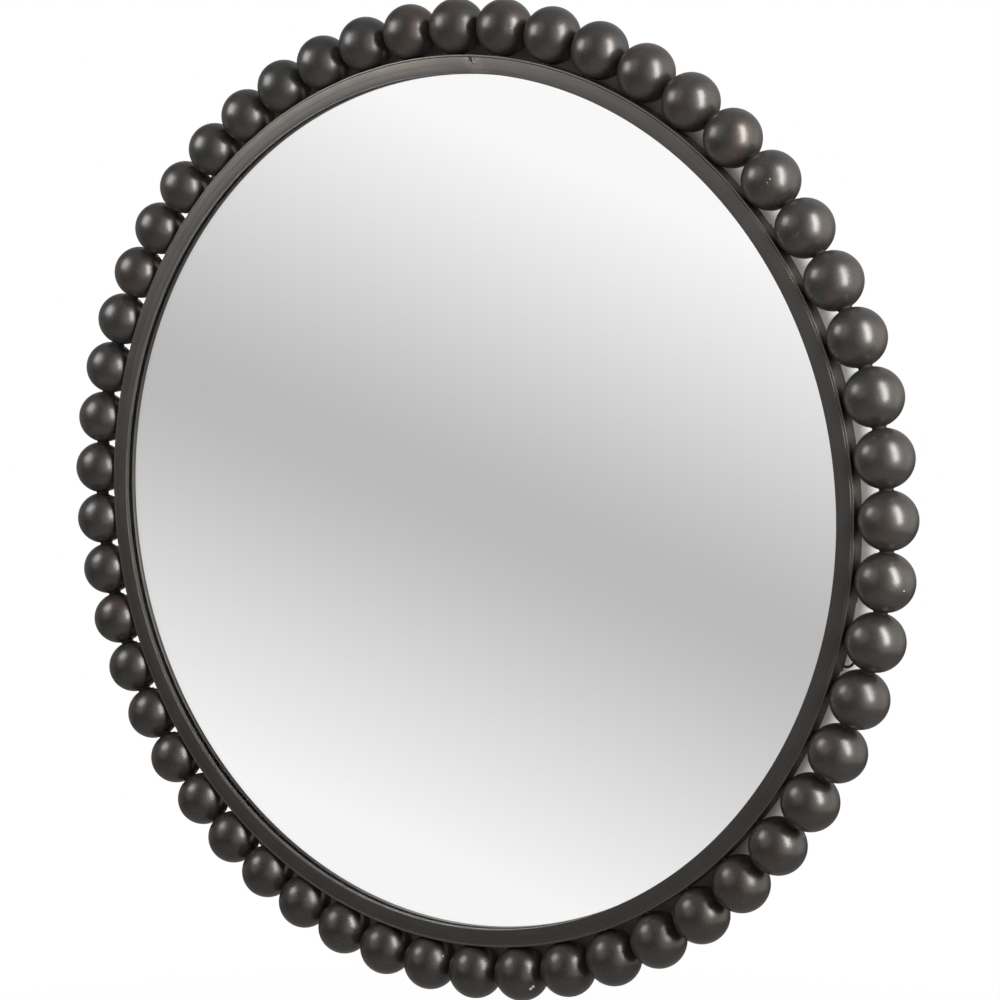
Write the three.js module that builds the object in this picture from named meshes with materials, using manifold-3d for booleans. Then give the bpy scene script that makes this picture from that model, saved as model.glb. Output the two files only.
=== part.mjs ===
// Round wall mirror in a rim of touching steel balls.
// Millimetres, +Z up. The glass faces -Y and the wall is on the +Y side, so the mirror's axis is Y.
// y = 0 is the plane of the wall, where the balls touch it.
// A piece on the rim is drawn where the rim crosses +X and then turned to its place,
// by an angle counted clockwise from the top as seen from the front.

import * as THREE from 'three';
import { mergeVertices } from 'three/addons/utils/BufferGeometryUtils.js';
import Module from 'manifold-3d';

const wasm = await Module();
wasm.setup();

// ---- the gap kept between pieces that touch ----
const SEAT_GAP = 0.3;

// ---- ball rim: hollow steel balls welded side by side ----
const BALL_DIAMETER = 50.8;
const BALL_COUNT = 53;
const BALLS_PER_GROUP = 3;
const BALL_WELD_GAP = 0.3;
const BALL_WELD_DIAMETER = 9;
const FIRST_BALL_ANGLE = 7.19;
const BALL_PLANE_BEHIND_HOOP_FRONT = 11;
const BALL_SIDES = 12;
const BALL_QUARTER_STEPS = 3;

// ---- hoop: steel strip rolled on edge, with the balls welded round it ----
const HOOP_THICKNESS = 2;
const HOOP_EDGE_CHAMFER = 0.5;

// ---- face ring: flat bar welded inside the front of the hoop ----
const FACE_WIDTH = 14;
const FACE_THICKNESS = 5;
const FACE_STANDS_PROUD = 0.4;
const FACE_EDGE_CHAMFER = 0.6;

// ---- glass, felt strip and board, stacked behind the face ring ----
const GLASS_THICKNESS = 4;
const GLASS_EDGE_CLEARANCE = 2.6;
const FELT_WIDTH = 11;
const FELT_THICKNESS = 1.5;
const BOARD_THICKNESS = 5;
const BOARD_EDGE_CLEARANCE = 1.6;

// ---- board lugs: small steel tabs welded to the hoop and screwed to the board ----
const LUG_COUNT = 8;
const FIRST_LUG_ANGLE = 7.5;
const LUG_WIDTH = 16;
const LUG_LENGTH = 24;
const LUG_THICKNESS = 2;
const LUG_SCREW_INSET = 16;
const LUG_SCREW_DIAMETER = 3.5;
const LUG_SCREW_BITE = 4;
const LUG_SCREW_HEAD_DIAMETER = 7.5;
const LUG_SCREW_HEAD_HEIGHT = 2;

// ---- hangers: a welded plate, a folded strap with an eye, and a D-ring in the eye ----
const UPPER_HANGER_ANGLE = 72;
const LOWER_HANGER_ANGLE = 105;
const PLATE_WIDTH = 22;
const PLATE_LENGTH = 30;
const PLATE_THICKNESS = 4;
const PLATE_SCREW_INSET = 19;
const STRAP_WIDTH = 9;
const STRAP_LEAF = 1.2;
const STRAP_SCREW_TO_EYE = 14;
const STRAP_TAIL = 7;
const EYE_CLEARANCE = 0.8;
const D_RING_WIRE = 2.4;
const D_RING_SIDE_PLAY = 0.9;
const D_RING_CORNER = 2.4;
const D_RING_STRAIGHT = 1;
const HANGER_SCREW_DIAMETER = 4;
const HANGER_SCREW_HEAD_DIAMETER = 8;
const HANGER_SCREW_HEAD_HEIGHT = 2.4;

// ---- screw slots ----
const SLOT_WIDTH = 1.2;
const SLOT_DEPTH = 1.1;

// ---- steps of the round shapes ----
const RING_STEPS = BALL_COUNT * 2;
const HOLE_SIDES = 10;
const TAB_END_STEPS = 8;
const EYE_SIDES = 16;
const WIRE_SIDES = 8;
const WIRE_CORNER_STEPS = 2;
const WIRE_BOW_STEPS = 8;

// ---- sizes worked out from those above ----
const ballRadius = BALL_DIAMETER / 2;
const ballPitch = BALL_DIAMETER + BALL_WELD_GAP;
const ballStep = (2 * Math.PI) / BALL_COUNT;
const ballCircle = ballPitch / 2 / Math.sin(ballStep / 2);
const hoopOuter = ballCircle - ballRadius - SEAT_GAP;
const hoopInner = hoopOuter - HOOP_THICKNESS;
const faceOuter = hoopInner - SEAT_GAP;
const faceInner = faceOuter - FACE_WIDTH;
const glassRadius = hoopInner - GLASS_EDGE_CLEARANCE;
const boardRadius = hoopInner - BOARD_EDGE_CLEARANCE;

// y of each layer, from the wall forward to the face ring and then back to the board
const ballPlane = -ballRadius;
const hoopFront = ballPlane - BALL_PLANE_BEHIND_HOOP_FRONT;
const faceFront = hoopFront - FACE_STANDS_PROUD;
const faceBack = faceFront + FACE_THICKNESS;
const glassFront = faceBack + SEAT_GAP;
const glassBack = glassFront + GLASS_THICKNESS;
const feltFront = glassBack + SEAT_GAP;
const feltBack = feltFront + FELT_THICKNESS;
const boardFront = feltBack + SEAT_GAP;
const boardBack = boardFront + BOARD_THICKNESS;

// y of the hardware behind the board
const lugFront = boardBack + SEAT_GAP;
const lugBack = lugFront + LUG_THICKNESS;
const plateBack = lugFront + PLATE_THICKNESS;
const strapFront = plateBack + SEAT_GAP;
const strapBack = strapFront + 2 * STRAP_LEAF;
const eyeHole = D_RING_WIRE / 2 + EYE_CLEARANCE;
const eyeOuter = eyeHole + STRAP_LEAF;
const eyePlane = strapFront + eyeOuter;

// distance from the mirror's axis
const lugOuter = hoopOuter - SEAT_GAP;
const lugScrewRadius = lugOuter - LUG_SCREW_INSET;
const plateScrewRadius = lugOuter - PLATE_SCREW_INSET;

// ---- finishes ----

function finish(color, roughness, metalness) {
  return () => new THREE.MeshStandardMaterial({ color, roughness, metalness });
}

const blackenedSteel = finish('#3f3b37', 0.38, 0.85);
const silveredGlass = finish('#e4e6e6', 0.03, 1);
const greyFelt = finish('#55524e', 0.95, 0);
const hardboard = finish('#4a3a2c', 0.8, 0);
const zincPlate = finish('#b9bab6', 0.3, 0.9);

// ---- helpers ----

const product = new THREE.Group();

function radians(degrees) {
  return THREE.MathUtils.degToRad(degrees);
}

function addMesh(parent, name, geometry, material) {
  const mesh = new THREE.Mesh(geometry, material());
  mesh.name = name;
  parent.add(mesh);
  return mesh;
}

// A group whose own +X points out along the rim's radius at this clockwise angle.
function onRim(angle) {
  const group = new THREE.Group();
  group.rotation.y = angle - Math.PI / 2;
  product.add(group);
  return group;
}

function ballAngle(index) {
  return radians(FIRST_BALL_ANGLE) + index * ballStep;
}

function lugAngle(index) {
  return radians(FIRST_LUG_ANGLE) + (index * 2 * Math.PI) / LUG_COUNT;
}

// The middle of the gap between two balls that is nearest to an angle in degrees.
function gapNear(degrees) {
  return ballAngle(Math.round((radians(degrees) - ballAngle(0.5)) / ballStep) + 0.5);
}

function toSolid(geometry) {
  const bare = geometry.index ? geometry.toNonIndexed() : geometry.clone();
  bare.deleteAttribute('normal');
  bare.deleteAttribute('uv');
  const merged = mergeVertices(bare, 1e-4);
  return new wasm.Manifold(new wasm.Mesh({
    numProp: 3,
    vertProperties: new Float32Array(merged.attributes.position.array),
    triVerts: new Uint32Array(merged.index.array),
  }));
}

function toGeometry(solid) {
  const mesh = solid.getMesh();
  const geometry = new THREE.BufferGeometry();
  geometry.setAttribute('position', new THREE.BufferAttribute(mesh.vertProperties, 3));
  geometry.setIndex(new THREE.BufferAttribute(mesh.triVerts, 1));
  geometry.computeVertexNormals();
  return geometry;
}

// A closed outline of [radius, y] corners turned round the mirror's axis.
function turned(corners) {
  const points = corners.map(([radius, y]) => new THREE.Vector2(radius, y));
  return new THREE.LatheGeometry(points, RING_STEPS, radians(FIRST_BALL_ANGLE));
}

function turnedRing(corners) {
  return turned([...corners, corners[0]]);
}

// A flat round plate between two y values.
function disc(radius, front, back) {
  return turned([[0, front], [radius, front], [radius, back], [0, back]]);
}

// A pin along Y at this x, for cutting a hole.
function holeCutter(x, radius, front, back) {
  const cutter = new THREE.CylinderGeometry(radius, radius, back - front, HOLE_SIDES);
  cutter.translate(x, (front + back) / 2, 0);
  return toSolid(cutter);
}

// A flat outline in the plane of the wall, given a thickness from front to back.
function flatPlate(shape, front, back) {
  const plate = new THREE.ExtrudeGeometry(shape, {
    depth: back - front,
    bevelEnabled: false,
    curveSegments: TAB_END_STEPS,
  });
  plate.rotateX(Math.PI / 2);
  plate.translate(0, back, 0);
  return plate;
}

// A tab that reaches from x = outer back to x = outer - length, where it ends in a half circle.
function roundEndedTab(outer, length, width) {
  const half = width / 2;
  const centre = outer - length + half;
  const shape = new THREE.Shape();
  shape.moveTo(outer, -half);
  shape.lineTo(outer, half);
  shape.lineTo(centre, half);
  shape.absarc(centre, 0, half, Math.PI / 2, (3 * Math.PI) / 2, false);
  shape.closePath();
  return shape;
}

// A ring of points round a centre, from the `across` direction towards the `up` direction.
function ringOfPoints(centre, across, up, radius, sides) {
  const points = [];
  for (let i = 0; i < sides; i += 1) {
    const angle = (i * 2 * Math.PI) / sides;
    points.push(centre.clone()
      .addScaledVector(across, radius * Math.cos(angle))
      .addScaledVector(up, radius * Math.sin(angle)));
  }
  return points;
}

// A skin over a run of rings, ending in a start and an end tip, or joined end to start.
function skin(rings, tips) {
  const sides = rings[0].length;
  const points = rings.flat();
  const faces = [];
  const bands = tips ? rings.length - 1 : rings.length;
  for (let i = 0; i < bands; i += 1) {
    const here = i * sides;
    const there = ((i + 1) % rings.length) * sides;
    for (let j = 0; j < sides; j += 1) {
      const k = (j + 1) % sides;
      faces.push(here + j, here + k, there + k);
      faces.push(here + j, there + k, there + j);
    }
  }
  if (tips) {
    const start = points.push(tips[0]) - 1;
    const end = points.push(tips[1]) - 1;
    const last = (rings.length - 1) * sides;
    for (let j = 0; j < sides; j += 1) {
      const k = (j + 1) % sides;
      faces.push(start, k, j);
      faces.push(end, last + j, last + k);
    }
  }
  const geometry = new THREE.BufferGeometry().setFromPoints(points);
  geometry.setIndex(faces);
  geometry.computeVertexNormals();
  return geometry;
}

// ---- ball rim ----

// Evenly spaced angles off a ball's pole, through its middle, from one angle to another.
function ballArcAngles(from, to) {
  const middle = Math.PI / 2;
  const angles = [];
  for (let i = 0; i <= BALL_QUARTER_STEPS; i += 1) {
    angles.push(from + ((middle - from) * i) / BALL_QUARTER_STEPS);
  }
  for (let i = 1; i <= BALL_QUARTER_STEPS; i += 1) {
    angles.push(middle + ((to - middle) * i) / BALL_QUARTER_STEPS);
  }
  return angles;
}

// Balls side by side along the rim, each bridged to the next by a round weld.
function chainOfBalls(count) {
  const weldAngle = Math.asin(BALL_WELD_DIAMETER / BALL_DIAMETER);
  const up = new THREE.Vector3(0, -1, 0);
  const rings = [];
  const tips = [];
  for (let i = 0; i < count; i += 1) {
    const turn = (i - (count - 1) / 2) * ballStep;
    const out = new THREE.Vector3(Math.cos(turn), 0, -Math.sin(turn));
    const along = new THREE.Vector3(-Math.sin(turn), 0, -Math.cos(turn));
    const centre = out.clone().multiplyScalar(ballCircle);
    const from = i === 0 ? 0 : weldAngle;
    const to = i === count - 1 ? Math.PI : Math.PI - weldAngle;
    for (const angle of ballArcAngles(from, to)) {
      const middle = centre.clone().addScaledVector(along, -ballRadius * Math.cos(angle));
      const isTip = angle === 0 || angle === Math.PI;
      if (isTip) {
        tips.push(middle);
      } else {
        rings.push(ringOfPoints(middle, out, up, ballRadius * Math.sin(angle), BALL_SIDES));
      }
    }
  }
  return skin(rings, tips);
}

function addBallRim() {
  let number = 1;
  for (let first = 0; first < BALL_COUNT; first += BALLS_PER_GROUP) {
    const count = Math.min(BALLS_PER_GROUP, BALL_COUNT - first);
    const rim = onRim(ballAngle(first + (count - 1) / 2));
    const name = `balls_${String(number).padStart(2, '0')}`;
    addMesh(rim, name, chainOfBalls(count), blackenedSteel).position.y = ballPlane;
    number += 1;
  }
}

// ---- hoop and face ring ----

// A rolled bar from radius `inner` to `outer`, with its front edges eased by a chamfer.
function rolledBar(inner, outer, front, back, chamfer) {
  return turnedRing([
    [inner, front + chamfer],
    [inner + chamfer, front],
    [outer - chamfer, front],
    [outer, front + chamfer],
    [outer, back],
    [inner, back],
  ]);
}

function addHoop() {
  const bar = rolledBar(hoopInner, hoopOuter, hoopFront, boardBack, HOOP_EDGE_CHAMFER);
  addMesh(product, 'hoop', bar, blackenedSteel);
}

function addFaceRing() {
  const bar = rolledBar(faceInner, faceOuter, faceFront, faceBack, FACE_EDGE_CHAMFER);
  addMesh(product, 'face_ring', bar, blackenedSteel);
}

// ---- glass, felt strip and board ----

function addGlass() {
  addMesh(product, 'mirror_glass', disc(glassRadius, glassFront, glassBack), silveredGlass);
}

function addFelt() {
  addMesh(product, 'felt_ring', turnedRing([
    [glassRadius - FELT_WIDTH, feltFront],
    [glassRadius, feltFront],
    [glassRadius, feltBack],
    [glassRadius - FELT_WIDTH, feltBack],
  ]), greyFelt);
}

// The board has a blind pilot hole for each lug screw.
function addBoard() {
  let board = toSolid(disc(boardRadius, boardFront, boardBack));
  const pilotRadius = LUG_SCREW_DIAMETER / 2 + SEAT_GAP;
  const pilotEnd = boardBack - LUG_SCREW_BITE - SEAT_GAP;
  for (let i = 0; i < LUG_COUNT; i += 1) {
    const pilot = holeCutter(lugScrewRadius, pilotRadius, pilotEnd, boardBack + 1);
    const turn = THREE.MathUtils.radToDeg(lugAngle(i)) - 90;
    board = board.subtract(pilot.rotate([0, turn, 0]));
  }
  addMesh(product, 'backing_board', toGeometry(board), hardboard);
}

// ---- screws ----

// A slotted pan-head screw along Y, with its shank forward of the seat and its head behind.
function panHeadScrew(x, seat, tip, diameter, headDiameter, headHeight) {
  const head = headDiameter / 2;
  const shank = diameter / 2;
  const outline = [
    [0, tip],
    [shank, tip],
    [shank, seat],
    [head, seat],
    [head, seat + headHeight * 0.5],
    [head * 0.75, seat + headHeight],
    [0, seat + headHeight],
  ].map(([radius, y]) => new THREE.Vector2(radius, y));
  const screw = new THREE.LatheGeometry(outline, HOLE_SIDES);
  screw.translate(x, 0, 0);
  const slot = new THREE.BoxGeometry(headDiameter * 2, SLOT_DEPTH * 2, SLOT_WIDTH);
  slot.translate(x, seat + headHeight, 0);
  return toGeometry(toSolid(screw).subtract(toSolid(slot)));
}

// ---- board lugs ----

function drilledTab(length, width, back, screwRadius, screwDiameter) {
  const tab = toSolid(flatPlate(roundEndedTab(lugOuter, length, width), lugFront, back));
  const hole = holeCutter(screwRadius, screwDiameter / 2 + SEAT_GAP, lugFront - 1, back + 1);
  return toGeometry(tab.subtract(hole));
}

function addBoardLugs() {
  for (let i = 0; i < LUG_COUNT; i += 1) {
    const rim = onRim(lugAngle(i));
    const lug = drilledTab(LUG_LENGTH, LUG_WIDTH, lugBack, lugScrewRadius, LUG_SCREW_DIAMETER);
    addMesh(rim, `board_lug_${i + 1}`, lug, blackenedSteel);
    addMesh(rim, `board_screw_${i + 1}`, panHeadScrew(
      lugScrewRadius,
      lugBack + SEAT_GAP,
      boardBack - LUG_SCREW_BITE,
      LUG_SCREW_DIAMETER,
      LUG_SCREW_HEAD_DIAMETER,
      LUG_SCREW_HEAD_HEIGHT,
    ), zincPlate);
  }
}

// ---- hangers ----

// A pin along Z through the eye's centre, for the eye and for its bore.
function eyePin(radius, length) {
  const pin = new THREE.CylinderGeometry(radius, radius, length, EYE_SIDES);
  pin.rotateX(Math.PI / 2);
  pin.translate(STRAP_SCREW_TO_EYE, eyePlane, 0);
  return toSolid(pin);
}

// In a strap's own frame its screw is at x = 0 and its eye at x = STRAP_SCREW_TO_EYE.
function hangerStrap() {
  const tab = roundEndedTab(STRAP_SCREW_TO_EYE, STRAP_SCREW_TO_EYE + STRAP_TAIL, STRAP_WIDTH);
  const leaves = toSolid(flatPlate(tab, strapFront, strapBack));
  const screwHole = HANGER_SCREW_DIAMETER / 2 + SEAT_GAP;
  return toGeometry(leaves
    .add(eyePin(eyeOuter, STRAP_WIDTH))
    .subtract(eyePin(eyeHole, STRAP_WIDTH * 2))
    .subtract(holeCutter(0, screwHole, strapFront - 1, strapBack + 1)));
}

// An arc of points in the plane of the wall, as [x, z].
function arcPoints(x, z, radius, from, to, steps) {
  const points = [];
  for (let i = 0; i <= steps; i += 1) {
    const angle = from + ((to - from) * i) / steps;
    points.push([x + radius * Math.cos(angle), z + radius * Math.sin(angle)]);
  }
  return points;
}

// A D-ring lying flat, with its straight leg on the Z axis and its bow towards +X.
function dRing() {
  const leg = STRAP_WIDTH / 2 + D_RING_SIDE_PLAY;
  const bow = leg + D_RING_CORNER;
  const half = Math.PI / 2;
  const path = [
    ...arcPoints(D_RING_CORNER, leg, D_RING_CORNER, 2 * half, half, WIRE_CORNER_STEPS),
    ...arcPoints(D_RING_CORNER + D_RING_STRAIGHT, 0, bow, half, -half, WIRE_BOW_STEPS),
    ...arcPoints(D_RING_CORNER, -leg, D_RING_CORNER, -half, -2 * half, WIRE_CORNER_STEPS),
  ].map(([x, z]) => new THREE.Vector3(x, 0, z));
  const up = new THREE.Vector3(0, 1, 0);
  const rings = path.map((point, i) => {
    const before = path[(i + path.length - 1) % path.length];
    const after = path[(i + 1) % path.length];
    const along = point.clone().sub(before).normalize()
      .add(after.clone().sub(point).normalize()).normalize();
    const across = up.clone().cross(along);
    return ringOfPoints(point, across, up, D_RING_WIRE / 2, WIRE_SIDES);
  });
  return skin(rings);
}

// A strap points outward at a turn of 0 and inward at half a turn about its screw.
function addHanger(name, angle, turn) {
  const rim = onRim(angle);
  const plate = drilledTab(
    PLATE_LENGTH, PLATE_WIDTH, plateBack, plateScrewRadius, HANGER_SCREW_DIAMETER);
  addMesh(rim, `hanger_plate_${name}`, plate, blackenedSteel);
  addMesh(rim, `hanger_screw_${name}`, panHeadScrew(
    plateScrewRadius,
    strapBack + SEAT_GAP,
    lugFront,
    HANGER_SCREW_DIAMETER,
    HANGER_SCREW_HEAD_DIAMETER,
    HANGER_SCREW_HEAD_HEIGHT,
  ), zincPlate);
  const hanger = new THREE.Group();
  hanger.position.x = plateScrewRadius;
  hanger.rotation.y = turn;
  rim.add(hanger);
  addMesh(hanger, `hanger_strap_${name}`, hangerStrap(), zincPlate);
  const ring = addMesh(hanger, `hanger_ring_${name}`, dRing(), zincPlate);
  ring.position.set(STRAP_SCREW_TO_EYE, eyePlane, 0);
}

function addHangers() {
  addHanger('upper_right', gapNear(UPPER_HANGER_ANGLE), Math.PI);
  addHanger('upper_left', gapNear(360 - UPPER_HANGER_ANGLE), Math.PI);
  addHanger('lower_right', gapNear(LOWER_HANGER_ANGLE), 0);
  addHanger('lower_left', gapNear(360 - LOWER_HANGER_ANGLE), 0);
}

addBallRim();
addHoop();
addFaceRing();
addGlass();
addFelt();
addBoard();
addBoardLugs();
addHangers();

export default product;
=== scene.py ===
import math
import random

import bpy
from mathutils import Matrix, Vector


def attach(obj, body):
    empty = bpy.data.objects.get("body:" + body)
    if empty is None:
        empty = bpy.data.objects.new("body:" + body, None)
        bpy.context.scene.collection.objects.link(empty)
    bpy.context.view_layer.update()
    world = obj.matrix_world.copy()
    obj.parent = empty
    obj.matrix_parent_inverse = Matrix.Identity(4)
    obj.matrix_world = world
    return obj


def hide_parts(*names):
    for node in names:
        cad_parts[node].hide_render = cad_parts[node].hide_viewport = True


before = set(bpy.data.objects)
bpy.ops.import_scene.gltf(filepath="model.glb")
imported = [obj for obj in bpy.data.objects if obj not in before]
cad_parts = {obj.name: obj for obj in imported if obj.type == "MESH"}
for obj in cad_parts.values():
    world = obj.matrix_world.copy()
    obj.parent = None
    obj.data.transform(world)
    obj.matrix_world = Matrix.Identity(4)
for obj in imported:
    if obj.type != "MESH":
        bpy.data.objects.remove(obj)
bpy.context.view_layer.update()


# ---- hoop ----
# The hoop is a flat steel strip, rolled on edge into a circle and closed with a butt weld.
# It is blackened and waxed, and rubbing has worn its two front corners round and pale.

hoop_outer = 0.405592
hoop_inner = 0.403592
hoop_front = -0.0364
hoop_back = -0.0204
hoop_corner = 0.0005
rolled_steps = 318


def deselect_everything():
    if bpy.context.object and bpy.context.object.mode != "OBJECT":
        bpy.ops.object.mode_set(mode="OBJECT")
    bpy.ops.object.select_all(action="DESELECT")


def pick(piece, kind, wanted):
    """Selects the piece's corners, edges or faces whose place passes the test, in edit mode."""
    deselect_everything()
    piece.select_set(True)
    bpy.context.view_layer.objects.active = piece
    bpy.context.tool_settings.mesh_select_mode = [kind == k for k in ("VERT", "EDGE", "FACE")]
    mesh = piece.data
    for parts in (mesh.vertices, mesh.edges, mesh.polygons):
        parts.foreach_set("select", [False] * len(parts))
    if kind == "VERT":
        for corner in mesh.vertices:
            corner.select = wanted(corner.co)
    elif kind == "EDGE":
        for edge in mesh.edges:
            edge.select = all(wanted(mesh.vertices[i].co) for i in edge.vertices)
    else:
        for face in mesh.polygons:
            face.select = wanted(face.center, face.normal)
    bpy.ops.object.mode_set(mode="EDIT")


def closed_up(piece, crease=35):
    """Merges the seams, turns the faces outward and shades the piece smooth up to the crease."""
    pick(piece, "VERT", lambda place: True)
    bpy.ops.mesh.remove_doubles(threshold=1e-6)
    bpy.ops.mesh.normals_make_consistent(inside=False)
    bpy.ops.object.mode_set(mode="OBJECT")
    bpy.ops.object.shade_smooth_by_angle(angle=math.radians(crease))


def rolled_bar(name, inner, outer, front, back, front_corner, back_corner):
    """A bar's section, drawn beside the axis with its corners rounded and spun round the axis."""
    deselect_everything()
    middle = ((inner + outer) / 2, (front + back) / 2, 0)
    bpy.ops.mesh.primitive_plane_add(size=1, location=middle)
    bar = bpy.context.object
    bar.name = name
    bpy.ops.object.transform_apply(location=True)
    pick(bar, "VERT", lambda place: True)
    bpy.ops.transform.resize(value=(outer - inner, back - front, 1), center_override=middle)
    pick(bar, "VERT", lambda place: place.y < middle[1])
    bpy.ops.mesh.bevel(offset=front_corner, segments=5, affect="VERTICES")
    pick(bar, "VERT", lambda place: place.y > back - 1e-6)
    bpy.ops.mesh.bevel(offset=back_corner, segments=2, affect="VERTICES")
    pick(bar, "FACE", lambda place, normal: True)
    bpy.ops.mesh.delete(type="ONLY_FACE")
    pick(bar, "EDGE", lambda place: True)
    bpy.ops.mesh.spin(steps=rolled_steps, angle=2 * math.pi, center=(0, 0, 0), axis=(0, 1, 0))
    closed_up(bar)
    return bar


def new_finish(name):
    """A material with an empty Principled shader, and its tree."""
    material = bpy.data.materials.new(name)
    material.use_nodes = True
    return material, material.node_tree, material.node_tree.nodes["Principled BSDF"]


def calculate(tree, operation, *values):
    """One Math node, fed by numbers or by other nodes' outputs."""
    node = tree.nodes.new("ShaderNodeMath")
    node.operation = operation
    for socket, value in zip(node.inputs, values):
        if isinstance(value, (int, float)):
            socket.default_value = value
        else:
            tree.links.new(value, socket)
    return node.outputs[0]


def stretched(tree, where, scale):
    """A place in metres, stretched by its own scale along each axis."""
    mapping = tree.nodes.new("ShaderNodeMapping")
    mapping.inputs["Scale"].default_value = scale
    tree.links.new(where, mapping.inputs["Vector"])
    return mapping.outputs[0]


def object_place(tree):
    return tree.nodes.new("ShaderNodeTexCoord").outputs["Object"]


def place_round_axis(tree):
    """Distance from the mirror's axis, distance along the rim from the top, and depth."""
    split = tree.nodes.new("ShaderNodeSeparateXYZ")
    tree.links.new(object_place(tree), split.inputs[0])
    x, y, z = split.outputs
    squared = calculate(tree, "ADD", calculate(tree, "MULTIPLY", x, x), calculate(tree, "MULTIPLY", z, z))
    radius = calculate(tree, "SQRT", squared)
    along = calculate(tree, "MULTIPLY", calculate(tree, "ARCTAN2", x, z), hoop_outer)
    joined = tree.nodes.new("ShaderNodeCombineXYZ")
    for socket, value in zip(joined.inputs, (radius, along, y)):
        tree.links.new(value, socket)
    return joined.outputs[0], radius, along, y


def cloudy(tree, where, scale, detail=3, roughness=0.5):
    """Soft noise from 0 to 1, with features about 1 / scale metres across."""
    noise = tree.nodes.new("ShaderNodeTexNoise")
    noise.inputs["Scale"].default_value = scale
    noise.inputs["Detail"].default_value = detail
    noise.inputs["Roughness"].default_value = roughness
    tree.links.new(where, noise.inputs["Vector"])
    return noise.outputs["Fac"]


def between(tree, value, low, high, at_low=0.0, at_high=1.0):
    """Turns values from low to high into at_low to at_high, smoothly."""
    node = tree.nodes.new("ShaderNodeMapRange")
    node.interpolation_type = "SMOOTHSTEP"
    for socket, number in zip(list(node.inputs)[1:5], (low, high, at_low, at_high)):
        socket.default_value = number
    tree.links.new(value, node.inputs[0])
    return node.outputs[0]


def tinted(tree, share, first, second):
    """A colour that goes from the first to the second by a share from 0 to 1."""
    node = tree.nodes.new("ShaderNodeMix")
    node.data_type = "RGBA"
    tree.links.new(share, node.inputs["Factor"])
    for socket, colour in ((node.inputs[6], first), (node.inputs[7], second)):
        if isinstance(colour, tuple):
            socket.default_value = (*colour, 1)
        else:
            tree.links.new(colour, socket)
    return node.outputs[2]


def bumped(tree, height, distance, strength=1.0, under=None):
    """A bump of this height in metres, over another bump if one is given."""
    node = tree.nodes.new("ShaderNodeBump")
    node.inputs["Strength"].default_value = strength
    node.inputs["Distance"].default_value = distance
    tree.links.new(height, node.inputs["Height"])
    if under is not None:
        tree.links.new(under, node.inputs["Normal"])
    return node.outputs[0]


def rolled_steel(name, dark, brown, worn, worn_depth):
    """Blackened bar: fine lines drawn along it, brown tints, and paler metal near its front face."""
    material, tree, shader = new_finish(name)
    round_place, depth = place_round_axis(tree)[::3]
    lines = cloudy(tree, stretched(tree, round_place, (1300, 9, 1300)), 1.0, detail=5, roughness=0.7)
    patches = cloudy(tree, object_place(tree), 34, detail=4, roughness=0.6)
    grain = cloudy(tree, object_place(tree), 900, detail=3, roughness=0.6)
    colour = tinted(tree, between(tree, patches, 0.46, 0.66), dark, brown)
    colour = tinted(tree, between(tree, lines, 0.46, 0.66, 0.0, 0.45), colour, worn)
    rubbed = calculate(tree, "MULTIPLY", between(tree, depth, worn_depth, worn_depth + 0.0006, 1.0, 0.0),
                       between(tree, grain, 0.25, 0.6, 0.55, 1.0))
    colour = tinted(tree, rubbed, colour, worn)
    tree.links.new(colour, shader.inputs["Base Color"])
    shader.inputs["Metallic"].default_value = 0.8
    shader.inputs["IOR"].default_value = 1.8
    tree.links.new(between(tree, patches, 0.3, 0.7, 0.45, 0.37), shader.inputs["Roughness"])
    tree.links.new(bumped(tree, grain, 0.00003, under=bumped(tree, lines, 0.00002)), shader.inputs["Normal"])
    return material


hoop = rolled_bar("hoop_strip", hoop_inner, hoop_outer, hoop_front, hoop_back, hoop_corner, 0.0003)
hoop.data.materials.append(rolled_steel(
    "hoop steel", (0.105, 0.096, 0.088), (0.125, 0.098, 0.080), (0.160, 0.148, 0.138), hoop_front + 0.0001))
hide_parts("hoop")
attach(hoop, "mirror")


# ---- face ring ----
# The face ring is a flat steel bar, rolled flatwise and welded inside the front of the hoop.
# Its ends meet in a weld just right of the top, which was ground flush and keeps a few nicks.

ring_outer = 0.4035
ring_inner = 0.389292
ring_front = -0.0368
ring_back = -0.0318
ring_corner = 0.0005
weld_at = math.radians(3.4) * hoop_outer
weld_lean = 0.9
drawn_line = 0.3962

face_ring = rolled_bar("face_ring_bar", ring_inner, ring_outer, ring_front, ring_back, ring_corner, 0.0003)


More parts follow.
